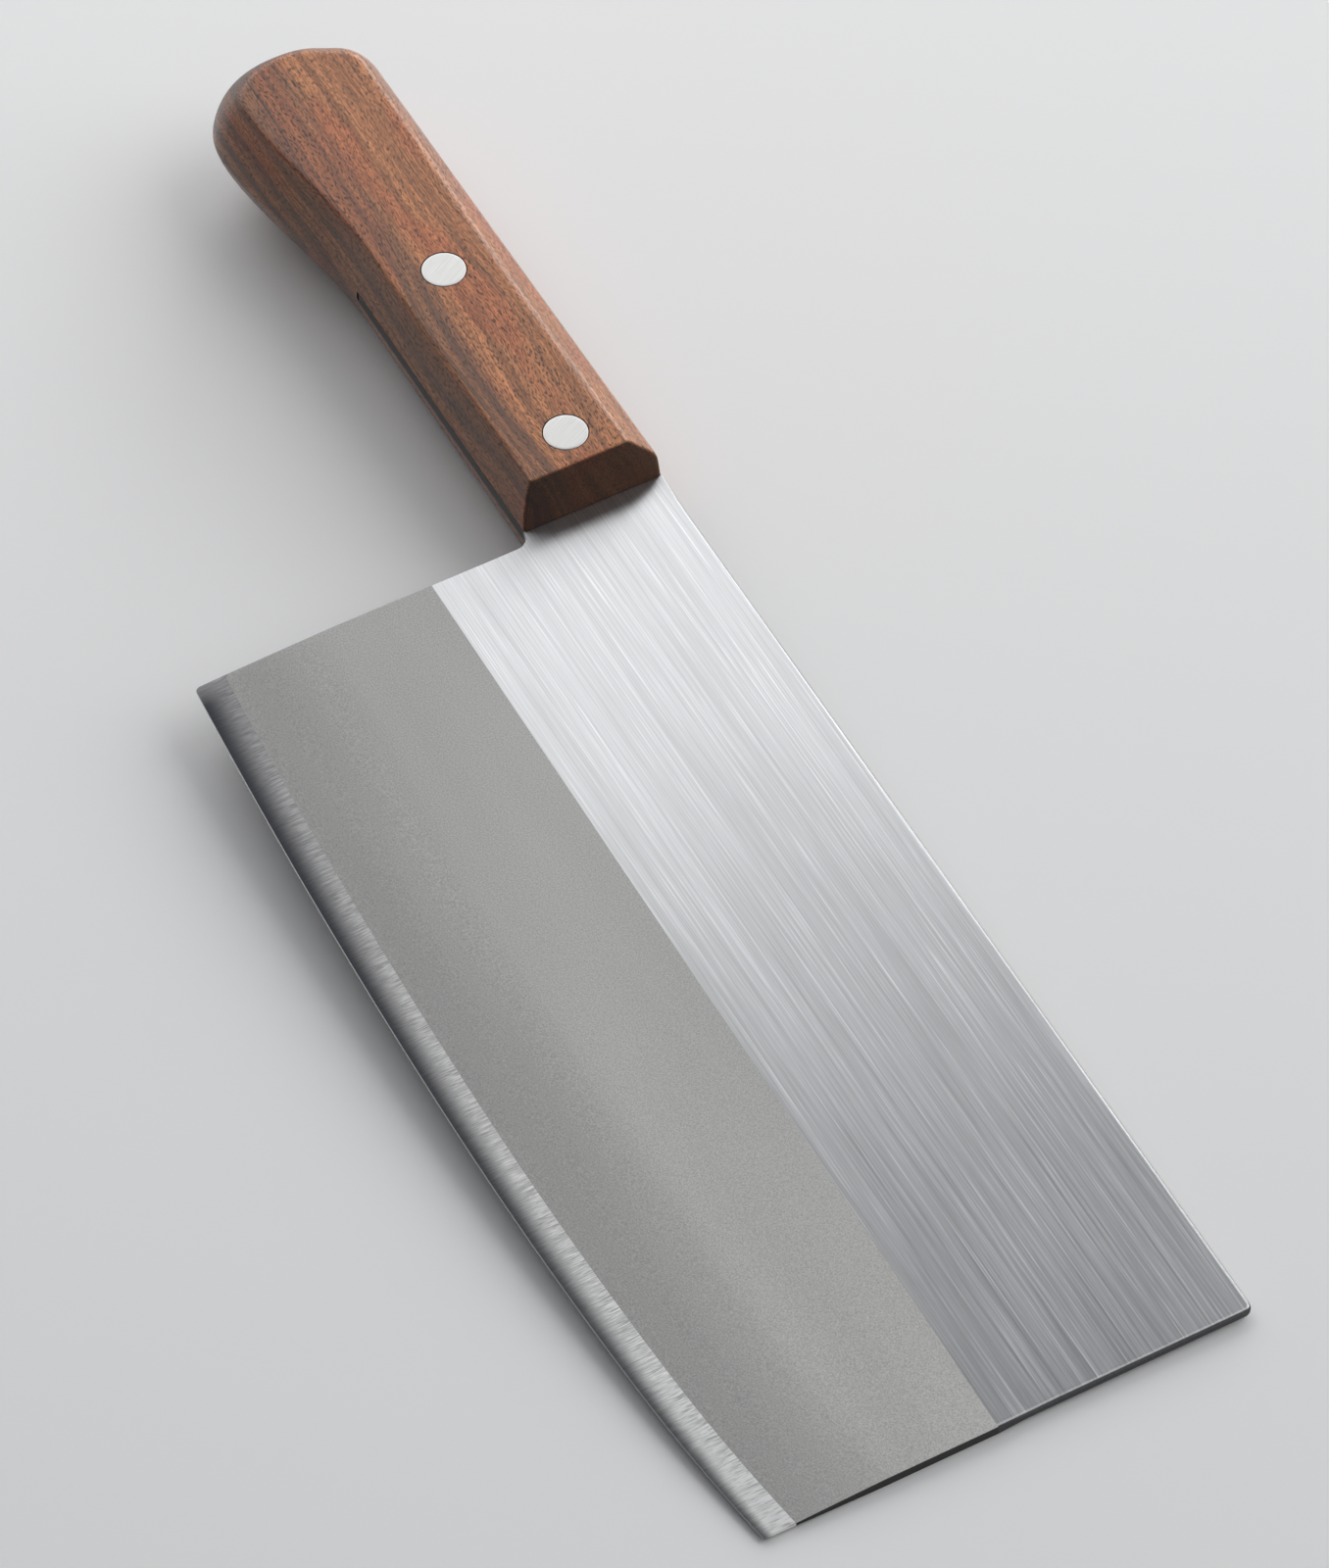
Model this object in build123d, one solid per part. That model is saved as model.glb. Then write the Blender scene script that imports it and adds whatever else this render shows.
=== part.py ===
from build123d import *
import os

# A broad kitchen cleaver: a one-piece steel blade and tang, a one-piece wooden handle with a
# sawn slot that takes the tang, and two cutler's rivets through both. All sizes are in mm.
# Working frame: x = 0 where the blade leaves the wood, y = 0 at the spine, z = 0 in the
# middle of the steel. The finished pieces are moved to the middle of the bottom of their box.

# Blade, seen from its side
blade_length = 197.7        # heel line to front end
neck_length = 2.5           # bare steel between the wood and the heel line
heel_height = 92.6          # spine to cutting edge at the heel
belly_height = 96.3         # spine to the lowest point of the cutting edge
front_height = 90.1         # spine to cutting edge at the front end
belly_place_share = 0.515   # where the edge is lowest, along the blade
turn_place_share = 0.825    # where the edge starts to rise faster
turn_rise_share = 0.34      # how much of the rise to the front is done there
neck_fillet = 2.8
heel_corner_radius = 1.2
tip_corner_radius = 1.6

# Blade, its thickness
stock_thickness = 2.2       # tang and heel end of the spine
front_thickness = 2.0       # spine at the front end
bright_zone_width = 47.5    # the part of the front end with softened edges, from the spine
grind_width = 22.0          # the grind, from the cutting edge inwards
grind_thickness = 2.0       # steel where the grind starts
grind_crown = 0.026         # how far the grind swells out of a straight one
bevel_width = 5.8           # the polished bevel along the cutting edge
bevel_thickness = 0.72      # steel where the bevel starts
bevel_crown = 0.01
edge_land = 0.1             # thickness of the cutting edge itself
arris_radius = 0.8          # softened edges along the spine and down the front end

# Tang
tang_length = 64.0
tang_corner_radius = 1.5
tang_end_gap = 0.3
slot_clearance = 0.05       # on each side of the steel

# Handle
handle_length = 121.5
handle_thickness = 21.0
handle_height = 27.3        # at the front, over the middle of its belly
belly_inset = 2.8           # how far the belly side slopes in, up to the flat faces
front_rake = 2.8            # how far the front slopes back, up to the flat faces
spine_drop = 0.8            # how far the spine side falls away towards the butt
shoulder_size = 5.0         # bevel between the spine side and each flat face
swell_height = 33.8         # lowest point of the belly swelling at the butt
swell_inset = 5.3
butt_inset = 7.2

# Handle outline, places along its length and across its height
straight_share = 0.52       # straight part of the belly, from the front
swell_place_share = 0.87
butt_place_share = 0.52     # height of the rearmost point, of the swelling's height
spine_end_share = 0.88      # where the spine side starts to turn into the butt
flat_spine_end_share = 0.84
tail_middle_share = 0.4
crest_tail_rise_share = 0.42
flat_tail_rise_share = 0.7
half_level_share = 0.52     # a level between the crest and the flat face
half_inset_share = 0.36     # how much of each inset is reached there

# Rivets
rivet_head_diameter = 8.0
rivet_head_thickness = 2.4
rivet_tube_diameter = 5.2
rivet_shank_diameter = 3.6
rivet_clearance = 0.04      # all round heads, tube and shank
rivet_end_gap = 0.4         # between a tube or shank and the other head
shank_tip_chamfer = 0.5
tang_hole_clearance = 0.15
front_rivet_setback = 9.9
rivet_spacing = 44.0
front_rivet_depth = 13.7    # from the spine line
rear_rivet_depth = 14.8

# Sizes that follow from those above
overrun = stock_thickness
half_stock = stock_thickness / 2
half_handle = handle_thickness / 2
front_x = neck_length + blade_length
reach = handle_length + front_x
rivet_places = {
    "front": (-front_rivet_setback, -front_rivet_depth),
    "rear": (-front_rivet_setback - rivet_spacing, -rear_rivet_depth),
}
to_part_frame = Pos((handle_length - front_x) / 2, belly_height / 2, half_handle)


def spine_y(x):
    """Height of the handle's spine line, which falls away a little towards the butt."""
    return spine_drop * x / (handle_length * spine_end_share)


def block_above(origin, along, across):
    """A block that stands on the plane through origin and two directions, on its upper side."""
    up = Vector(*along).cross(Vector(*across))
    plane = Plane(origin=origin, x_dir=along, z_dir=up)
    return plane * Box(reach * 2, reach * 2, reach, align=(Align.CENTER, Align.CENTER, Align.MIN))


def cutting_edge():
    """The cutting edge in three arcs, from the heel to the front."""
    heel = (neck_length, -heel_height)
    belly = (neck_length + blade_length * belly_place_share, -belly_height)
    turn_y = -belly_height + (belly_height - front_height) * turn_rise_share
    turn = (neck_length + blade_length * turn_place_share, turn_y)
    front = (front_x, -front_height)
    heel_arc = TangentArc(belly, heel, tangent=(-1, 0))
    middle_arc = TangentArc(belly, turn, tangent=(1, 0))
    front_arc = TangentArc(turn, front, tangent=middle_arc % 1)
    return heel_arc, middle_arc, front_arc


def blade_outline():
    heel_arc, middle_arc, front_arc = cutting_edge()
    tang_belly = -handle_height
    spine = Polyline(
        (front_x, -front_height),
        (front_x, 0),
        (0, 0),
        (-tang_length, spine_y(-tang_length)),
        (-tang_length, tang_belly),
        (neck_length, tang_belly),
        (neck_length, -heel_height),
    )
    face = make_face([heel_arc, middle_arc, front_arc, spine])
    rounded_corners = [
        (neck_length, tang_belly, neck_fillet),
        (neck_length, -heel_height, heel_corner_radius),
        (front_x, 0, tip_corner_radius),
        (-tang_length, 0, tang_corner_radius),
        (-tang_length, tang_belly, tang_corner_radius),
    ]
    for x, y, radius in rounded_corners:
        corner = face.vertices().sort_by_distance((x, y, 0))[0]
        face = fillet(corner, radius)
    return face


def crowned(start, end, crown):
    """An arc between two points that swells out of the straight line by its crown."""
    middle = ((start[0] + end[0]) / 2, (start[1] + end[1]) / 2 + crown)
    return ThreePointArc(start, middle, end)


def grind_cutter():
    """Everything above the grind and the bevel on the upper side, past both ends of the edge."""
    heel_arc, middle_arc, front_arc = cutting_edge()
    lead = grind_width / 2
    heel_lead = Line(heel_arc @ 1 + (heel_arc % 1) * lead, heel_arc @ 1)
    front_lead = Line(front_arc @ 1, front_arc @ 1 + (front_arc % 1) * lead)
    path = Wire([heel_lead, heel_arc, middle_arc, front_arc, front_lead])
    forward = heel_lead % 0
    section_plane = Plane(origin=heel_lead @ 0, x_dir=(-forward.Y, forward.X), z_dir=forward)
    half_land = edge_land / 2
    bevel_top = (bevel_width, bevel_thickness / 2)
    bevel = crowned((0, half_land), bevel_top, bevel_crown)
    grind = crowned(bevel_top, (grind_width, grind_thickness / 2), grind_crown)
    beyond = grind @ 1 + (grind % 1) * bevel_width
    rest = Polyline(
        grind @ 1,
        beyond,
        (beyond.X, stock_thickness),
        (-overrun, stock_thickness),
        (-overrun, half_land),
        (0, half_land),
    )
    section = section_plane * make_face([bevel, grind, rest])
    return sweep(section, path=path)


def arris_cutter(fall):
    """Rounds the edges along the spine and down the upper part of the front end."""
    side = Plane(origin=(neck_length, 0, half_stock), x_dir=(blade_length, 0, -fall))
    path = FilletPolyline(
        (0, 0),
        (blade_length, 0),
        (blade_length, -bright_zone_width),
        radius=tip_corner_radius,
    )
    curve = RadiusArc((arris_radius, 0), (0, arris_radius), arris_radius)
    around = Polyline(
        (0, arris_radius),
        (-overrun, arris_radius),
        (-overrun, -overrun),
        (arris_radius, -overrun),
        (arris_radius, 0),
    )
    section = Plane(origin=path @ 0, x_dir=(0, -1, 0), z_dir=(1, 0, 0)) * make_face([curve, around])
    return side * sweep(section, path=path)


def blade():
    body = extrude(blade_outline(), amount=half_stock, both=True)
    for x, y in rivet_places.values():
        hole_radius = rivet_tube_diameter / 2 + tang_hole_clearance
        body -= Pos(x, y) * Cylinder(hole_radius, handle_thickness)

    # The spine gets thinner towards the front
    fall = (stock_thickness - front_thickness) / 2
    heel_top = (neck_length, 0, half_stock)
    spine_cut = block_above(heel_top, (blade_length, 0, -fall), (0, blade_length, 0))
    for cutter in (spine_cut, grind_cutter(), arris_cutter(fall)):
        body -= cutter
        body -= mirror(cutter, about=Plane.XY)
    return body


def handle_outline(inset_share):
    """The handle's outline at a level: inset share 0 at its crest, 1 at its flat faces."""
    def between(at_crest, at_flat):
        return at_crest + (at_flat - at_crest) * inset_share

    belly = -handle_height + belly_inset * inset_share
    swell = -swell_height + swell_inset * inset_share
    butt_x = -handle_length + butt_inset * inset_share
    spine_end = -handle_length * between(spine_end_share, flat_spine_end_share)
    straight_end = -handle_length * straight_share
    swell_x = -handle_length * swell_place_share
    butt_y = -swell_height * butt_place_share
    tail_x = swell_x + (straight_end - swell_x) * tail_middle_share
    tail_rise = between(crest_tail_rise_share, flat_tail_rise_share)
    tail_y = swell + (belly - swell) * tail_rise

    spine = Line((0, 0), (spine_end, spine_y(spine_end)))
    upper_butt = Spline(
        [spine @ 1, (butt_x, butt_y)], tangents=[(-1, 0), (0, -1)]
    )
    lower_butt = Spline(
        [(butt_x, butt_y), (swell_x, swell)], tangents=[(0, -1), (1, 0)]
    )
    tail = Spline(
        [(swell_x, swell), (tail_x, tail_y), (straight_end, belly)], tangents=[(1, 0), (1, 0)]
    )
    belly_line = Line(tail @ 1, (0, belly))
    front = Line((0, belly), (0, 0))
    return make_face([spine, upper_butt, lower_butt, tail, belly_line, front])


def handle():
    levels = [(0, 0), (half_level_share, half_inset_share), (1, 1)]
    levels = [(-z, inset) for z, inset in levels[:0:-1]] + levels
    body = loft([Pos(0, 0, half_handle * z) * handle_outline(inset) for z, inset in levels])

    # The front slopes back from the blade, and a bevel runs along each side of the spine
    front_cut = block_above((0, 0, 0), (-front_rake, 0, half_handle), (0, -half_handle, 0))
    spine_line = (handle_length, -spine_y(-handle_length), 0)
    shoulder_start = (0, 0, half_handle - shoulder_size)
    shoulder_cut = block_above(shoulder_start, spine_line, (0, shoulder_size, -shoulder_size))
    for cutter in (front_cut, shoulder_cut):
        body -= cutter
        body -= mirror(cutter, about=Plane.XY)

    slot_size = (tang_length + tang_end_gap, swell_height * 2, stock_thickness + slot_clearance * 2)
    body -= Box(*slot_size, align=(Align.MAX, Align.CENTER, Align.CENTER))
    for x, y in rivet_places.values():
        body -= Pos(x, y) * Cylinder(rivet_tube_diameter / 2 + rivet_clearance, handle_thickness)
        seat = Cylinder(
            rivet_head_diameter / 2 + rivet_clearance,
            rivet_head_thickness,
            align=(Align.CENTER, Align.CENTER, Align.MAX),
        )
        body -= Pos(x, y, half_handle) * seat
        body -= mirror(Pos(x, y, half_handle) * seat, about=Plane.XY)
    return body


def rivet_socket():
    """Upper half of a rivet: a flat head with a tube below it."""
    head_bottom = half_handle - rivet_head_thickness
    tube_length = head_bottom * 2 - rivet_end_gap
    hang = (Align.CENTER, Align.CENTER, Align.MAX)
    head = Pos(0, 0, half_handle) * Cylinder(
        rivet_head_diameter / 2, rivet_head_thickness, align=hang
    )
    tube = Pos(0, 0, head_bottom) * Cylinder(rivet_tube_diameter / 2, tube_length, align=hang)
    bore_radius = rivet_shank_diameter / 2 + rivet_clearance
    bore = Pos(0, 0, head_bottom) * Cylinder(bore_radius, tube_length, align=hang)
    return head + tube - bore


def rivet_pin():
    """Lower half of a rivet: a flat head with a solid shank that is driven into the tube."""
    head_top = -half_handle + rivet_head_thickness
    shank_length = -head_top * 2 - rivet_end_gap
    stand = (Align.CENTER, Align.CENTER, Align.MIN)
    head = Pos(0, 0, -half_handle) * Cylinder(
        rivet_head_diameter / 2, rivet_head_thickness, align=stand
    )
    shank = Pos(0, 0, head_top) * Cylinder(rivet_shank_diameter / 2, shank_length, align=stand)
    shank = chamfer(shank.edges().sort_by(Axis.Z)[-1], shank_tip_chamfer)
    return head + shank


pieces = {"blade": blade(), "handle": handle()}
for name, (x, y) in rivet_places.items():
    pieces[name + "_rivet_socket"] = Pos(x, y) * rivet_socket()
    pieces[name + "_rivet_pin"] = Pos(x, y) * rivet_pin()

os.makedirs("parts", exist_ok=True)
for name, piece in pieces.items():
    export_step(to_part_frame * piece, "parts/" + name + ".step")
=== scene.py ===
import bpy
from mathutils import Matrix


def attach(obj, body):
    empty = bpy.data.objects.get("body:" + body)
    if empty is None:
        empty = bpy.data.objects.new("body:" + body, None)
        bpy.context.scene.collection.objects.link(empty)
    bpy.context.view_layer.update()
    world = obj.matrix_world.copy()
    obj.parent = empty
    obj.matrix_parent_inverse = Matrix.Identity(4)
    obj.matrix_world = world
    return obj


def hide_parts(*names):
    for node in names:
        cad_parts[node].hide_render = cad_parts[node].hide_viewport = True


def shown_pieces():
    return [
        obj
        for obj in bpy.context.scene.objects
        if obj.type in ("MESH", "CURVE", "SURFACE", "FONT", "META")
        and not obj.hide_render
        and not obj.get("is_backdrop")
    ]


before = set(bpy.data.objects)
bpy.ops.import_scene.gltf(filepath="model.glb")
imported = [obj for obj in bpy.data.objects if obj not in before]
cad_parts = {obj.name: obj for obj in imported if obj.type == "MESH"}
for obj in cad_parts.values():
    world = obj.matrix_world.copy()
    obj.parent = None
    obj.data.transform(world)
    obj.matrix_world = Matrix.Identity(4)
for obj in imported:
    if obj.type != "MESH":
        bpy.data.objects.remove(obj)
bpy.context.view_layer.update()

import math

import bmesh
import bpy
import numpy as np
from mathutils import Matrix, Vector

# Sizes are in mm and in the maker's own frame: x = 0 where the steel leaves the wood,
# y = 0 at the spine, z = 0 in the middle of the steel. placed() takes them to the row frame.
rowOffset = (-39.35, 48.15, 10.5)
mm = 0.001
weldDistance = 1e-8     # in metres


def placed(points):
    return (np.asarray(points, float).reshape(-1, 3) + np.array(rowOffset)) * mm


# Mesh helpers

def makePiece(name, points, faces, materials=(), faceMaterials=None):
    mesh = bpy.data.meshes.new(name)
    mesh.from_pydata([tuple(p) for p in placed(points)], [], faces)
    for material in materials:
        mesh.materials.append(material)
    if faceMaterials is not None:
        mesh.polygons.foreach_set("material_index", np.array(faceMaterials, np.int32))
    piece = bpy.data.objects.new(name, mesh)
    bpy.context.scene.collection.objects.link(piece)
    cleanMesh(piece)
    return piece


def cleanMesh(piece):
    shape = bmesh.new()
    shape.from_mesh(piece.data)
    bmesh.ops.remove_doubles(shape, verts=shape.verts, dist=weldDistance)
    bmesh.ops.dissolve_degenerate(shape, edges=shape.edges, dist=weldDistance)
    bmesh.ops.recalc_face_normals(shape, faces=shape.faces)
    shape.to_mesh(piece.data)
    shape.free()


def cutFrom(piece, points, faces):
    # Takes a closed shape out of a piece, and leaves plain mesh behind
    cutter = makePiece("cutter", points, faces)
    cut = piece.modifiers.new("cut", "BOOLEAN")
    cut.operation = "DIFFERENCE"
    cut.solver = "EXACT"
    cut.object = cutter
    bpy.context.view_layer.update()
    evaluated = piece.evaluated_get(bpy.context.evaluated_depsgraph_get())
    result = bpy.data.meshes.new_from_object(evaluated)
    piece.modifiers.remove(cut)
    piece.data = result
    bpy.data.objects.remove(cutter)


def softShading(piece, sharpAngle):
    piece.data.polygons.foreach_set("use_smooth", [True] * len(piece.data.polygons))
    piece.data.set_sharp_from_angle(angle=math.radians(sharpAngle))
    weighted = piece.modifiers.new("weighted", "WEIGHTED_NORMAL")
    weighted.keep_sharp = True
    weighted.weight = 80


def barrel(centre, radius, low, high, sides):
    # A closed round bar along z, as points and faces
    x, y = centre
    points = []
    for z in (low, high):
        for k in range(sides):
            a = 2 * math.pi * k / sides
            points.append((x + radius * math.cos(a), y + radius * math.sin(a), z))
    faces = [list(range(sides))[::-1], list(range(sides, 2 * sides))]
    faces += [(k, (k + 1) % sides, sides + (k + 1) % sides, sides + k) for k in range(sides)]
    return points, faces


def brick(low, high):
    # A closed box between two corners, as points and faces
    xs, ys, zs = zip(low, high)
    points = [(x, y, z) for z in zs for y in ys for x in xs]
    faces = [(0, 2, 3, 1), (4, 5, 7, 6), (0, 1, 5, 4), (2, 6, 7, 3), (0, 4, 6, 2), (1, 3, 7, 5)]
    return points, faces


# Node helpers

def newGroup(name, inputs, outputs):
    group = bpy.data.node_groups.new(name, "ShaderNodeTree")
    for label, kind, value in inputs:
        socket = group.interface.new_socket(label, in_out="INPUT", socket_type=kind)
        if value is not None:
            socket.default_value = value
    for label, kind in outputs:
        group.interface.new_socket(label, in_out="OUTPUT", socket_type=kind)
    return group, group.nodes.new("NodeGroupInput"), group.nodes.new("NodeGroupOutput")


def setSocket(tree, socket, value):
    if isinstance(value, bpy.types.NodeSocket):
        tree.links.new(value, socket)
    else:
        socket.default_value = value


def maths(tree, operation, a, b=None, c=None):
    node = tree.nodes.new("ShaderNodeMath")
    node.operation = operation
    for socket, value in zip(node.inputs, (a, b, c)):
        if value is not None:
            setSocket(tree, socket, value)
    return node.outputs[0]


def product(tree, *factors):
    result = factors[0]
    for factor in factors[1:]:
        result = maths(tree, "MULTIPLY", result, factor)
    return result


def around(tree, value, middle, spread):
    # A value from 0 to 1 becomes one around a middle
    return maths(tree, "MULTIPLY_ADD", value, spread, middle - spread / 2)


def vectorMaths(tree, operation, a, b=None):
    node = tree.nodes.new("ShaderNodeVectorMath")
    node.operation = operation
    setSocket(tree, node.inputs[0], a)
    if b is not None:
        setSocket(tree, node.inputs[1], b)
    return node.outputs["Value"] if operation in ("DOT_PRODUCT", "LENGTH") else node.outputs[0]


def split(tree, vector):
    node = tree.nodes.new("ShaderNodeSeparateXYZ")
    tree.links.new(vector, node.inputs[0])
    return node.outputs


def join(tree, *values):
    node = tree.nodes.new("ShaderNodeCombineXYZ")
    for socket, value in zip(node.inputs, values):
        setSocket(tree, socket, value)
    return node.outputs[0]


def drawnOut(tree, vector, x, across):
    # A texture read at the result is drawn out along x where x is the smaller
    return vectorMaths(tree, "MULTIPLY", vector, (x, across, across))


def noiseNode(tree, vector, scale, detail, roughness=0.5):
    node = tree.nodes.new("ShaderNodeTexNoise")
    setSocket(tree, node.inputs["Vector"], vector)
    setSocket(tree, node.inputs["Scale"], scale)
    node.inputs["Detail"].default_value = detail
    node.inputs["Roughness"].default_value = roughness
    return node


def noise(tree, *settings):
    return noiseNode(tree, *settings).outputs["Fac"]


def remap(tree, value, fromLow, fromHigh, toLow=0.0, toHigh=1.0, smooth=True):
    node = tree.nodes.new("ShaderNodeMapRange")
    node.interpolation_type = "SMOOTHSTEP" if smooth else "LINEAR"
    for label, item in (("Value", value), ("From Min", fromLow), ("From Max", fromHigh),
                        ("To Min", toLow), ("To Max", toHigh)):
        setSocket(tree, node.inputs[label], item)
    return node.outputs["Result"]


def fullRange(tree, noiseValue, low=0.0, high=1.0):
    # Nearly all of a noise lies between 0.3 and 0.7
    return remap(tree, noiseValue, 0.3, 0.7, low, high, smooth=False)


def mixColour(tree, share, a, b):
    node = tree.nodes.new("ShaderNodeMix")
    node.data_type = "RGBA"
    setSocket(tree, node.inputs["Factor"], share)
    setSocket(tree, node.inputs[6], a)      # the colour sockets
    setSocket(tree, node.inputs[7], b)
    return node.outputs[2]


def dimmed(tree, colour, factor):
    # A colour made lighter or darker by a factor
    if isinstance(colour, tuple):
        colour = colour[:3]
    return vectorMaths(tree, "MULTIPLY", colour, join(tree, factor, factor, factor))


def useGroup(tree, group, **values):
    node = tree.nodes.new("ShaderNodeGroup")
    node.node_tree = group
    for label, value in values.items():
        setSocket(tree, node.inputs[label], value)
    return node.outputs


def newMaterial(name):
    material = bpy.data.materials.new(name)
    material.use_nodes = True
    tree = material.node_tree
    return material, tree, tree.nodes["Principled BSDF"]


def placeInMm(tree):
    # Where a point is on the part, in mm in the maker's frame
    where = tree.nodes.new("ShaderNodeTexCoord").outputs["Object"]
    scaled = vectorMaths(tree, "MULTIPLY", where, (1 / mm, 1 / mm, 1 / mm))
    return vectorMaths(tree, "SUBTRACT", scaled, rowOffset)


def facingAlong(tree, axis):
    normal = tree.nodes.new("ShaderNodeNewGeometry").outputs["Normal"]
    return maths(tree, "ABSOLUTE", vectorMaths(tree, "DOT_PRODUCT", normal, axis))


def addBump(tree, shader, look, height):
    bump = tree.nodes.new("ShaderNodeBump")
    bump.inputs["Strength"].default_value = look["bump"]
    bump.inputs["Distance"].default_value = look["bumpDepth"] * mm
    setSocket(tree, bump.inputs["Height"], height)
    tree.links.new(bump.outputs["Normal"], shader.inputs["Normal"])


# Effects shared by several finishes

strokesLook = {
    "fineDetail": 3.0, "fineRoughness": 0.65, "broadLength": 5.0, "broadWidth": 8.0,
    "broadDetail": 2.0, "broadHeight": 0.4,
}


def makeStrokes():
    # Fine parallel strokes along the first coordinate, and broader streaks made of them
    look = strokesLook
    group, given, out = newGroup(
        "strokes",
        [("Vector", "NodeSocketVector", None), ("Length", "NodeSocketFloat", 30.0),
         ("Width", "NodeSocketFloat", 0.2)],
        [("Fine", "NodeSocketFloat"), ("Streaks", "NodeSocketFloat"), ("Height", "NodeSocketFloat")],
    )
    parts = split(group, given.outputs["Vector"])

    def stretched(lengthFactor, widthFactor):
        length = product(group, given.outputs["Length"], lengthFactor)
        width = product(group, given.outputs["Width"], widthFactor)
        return join(group, *(maths(group, "DIVIDE", part, size)
                             for part, size in zip(parts, (length, width, width))))

    fine = noise(group, stretched(1.0, 1.0), 1.0, look["fineDetail"], look["fineRoughness"])
    broad = noise(group, stretched(look["broadLength"], look["broadWidth"]), 1.0, look["broadDetail"])
    fineMask, broadMask = fullRange(group, fine), fullRange(group, broad)
    group.links.new(fineMask, out.inputs["Fine"])
    group.links.new(broadMask, out.inputs["Streaks"])
    height = maths(group, "MULTIPLY_ADD", broadMask, look["broadHeight"], fineMask)
    group.links.new(height, out.inputs["Height"])
    return group


def makeMottle():
    # Slow, faint changes over a surface
    group, given, out = newGroup(
        "mottle",
        [("Vector", "NodeSocketVector", None), ("Size", "NodeSocketFloat", 30.0),
         ("Amount", "NodeSocketFloat", 0.1)],
        [("Factor", "NodeSocketFloat")],
    )
    scale = maths(group, "DIVIDE", 1.0, given.outputs["Size"])
    slow = noise(group, given.outputs["Vector"], scale, 2.0)
    centred = maths(group, "SUBTRACT", slow, 0.5)
    factor = maths(group, "MULTIPLY_ADD", centred, given.outputs["Amount"], 1.0)
    group.links.new(factor, out.inputs["Factor"])
    return group


strokes = makeStrokes()
mottle = makeMottle()
print("shared effects ready")


def strokesOf(tree, where, look):
    return useGroup(tree, strokes, Vector=where, Length=look["strokeLength"], Width=look["strokeWidth"])


def mottleOf(tree, where, look):
    group = useGroup(tree, mottle, Vector=where, Size=look["mottleSize"], Amount=look["mottleAmount"])
    return group["Factor"]


# Metal finishes

def finishMetal(tree, shader, look, colour, texture, height):
    # Bare metal, a little rougher where the texture is light
    tree.links.new(colour, shader.inputs["Base Color"])
    rough = around(tree, texture, look["roughness"], look["roughnessSpread"])
    tree.links.new(rough, shader.inputs["Roughness"])
    shader.inputs["Metallic"].default_value = 1.0
    addBump(tree, shader, look, height)


def faceShadeFactor(tree, axis, shadeLevel):
    # Painted shade: the cut edges of the steel, which face along an axis, are painted darker than its sides
    return remap(tree, facingAlong(tree, axis), 0.25, 0.6, 1.0, shadeLevel)


def edgeDistanceOf(tree):
    attribute = tree.nodes.new("ShaderNodeAttribute")
    attribute.attribute_name = "edgeDistance"
    return attribute.outputs["Fac"]


# A Range is a pair: where a change begins and where it is complete, in mm for places
hairline = {
    "colour": (0.56, 0.567, 0.577, 1), "tangShade": 0.2, "tangShadeRange": (-0.8, 0.2),
    "roughness": 0.34, "roughnessSpread": 0.1, "anisotropy": 0.85,
    "strokeLength": 30.0, "strokeWidth": 0.23, "fineContrast": 0.36, "streakContrast": 0.1,
    "scratch": 0.2, "scratchRange": (0.72, 0.95), "mottleSize": 40.0, "mottleAmount": 0.1,
    "endFaceShade": 0.15, "sideFaceShade": 0.5, "bump": 0.1, "bumpDepth": 0.02,
}


def makeHairlineSteel():
    look = hairline
    material, tree, shader = newMaterial("hairlineSteel")
    where = placeInMm(tree)
    lines = strokesOf(tree, where, look)
    fine = around(tree, lines["Fine"], 1.0, look["fineContrast"])
    streak = around(tree, lines["Streaks"], 1.0, look["streakContrast"])
    scratches = remap(tree, lines["Fine"], *look["scratchRange"], 0.0, look["scratch"])
    factor = maths(tree, "ADD", product(tree, fine, streak, mottleOf(tree, where, look)), scratches)
    # Painted shade: the tang's edges, between the two halves of wood, are painted dark, as are the steel's
    # cut edges
    tangShadeFactor = remap(tree, split(tree, where)[0], *look["tangShadeRange"], look["tangShade"], 1.0)
    factor = product(tree, factor, tangShadeFactor, faceShadeFactor(tree, (1, 0, 0), look["endFaceShade"]),
                     faceShadeFactor(tree, (0, 1, 0), look["sideFaceShade"]))
    finishMetal(tree, shader, look, dimmed(tree, look["colour"], factor), lines["Fine"], lines["Height"])
    shader.inputs["Anisotropic"].default_value = look["anisotropy"]
    tangent = tree.nodes.new("ShaderNodeTangent")
    tangent.direction_type = "UV_MAP"
    tangent.uv_map = "stroke"
    tree.links.new(tangent.outputs[0], shader.inputs["Tangent"])
    return material


matte = {
    "colour": (0.382, 0.379, 0.371, 1), "roughness": 0.6, "roughnessSpread": 0.12,
    "grainSize": 0.27, "grainContrast": 0.46, "grainDetail": 2.0, "grainRoughness": 0.7,
    "mottleStretch": 0.16, "mottleSize": 13.0, "mottleAmount": 0.16,
    "bevelSideShade": 0.82, "nearBevelRange": (6.0, 30.0), "frontLight": 1.15, "atFrontRange": (20.0, 200.0),
    "endFaceShade": 0.15, "bump": 0.35, "bumpDepth": 0.02,
}


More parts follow.
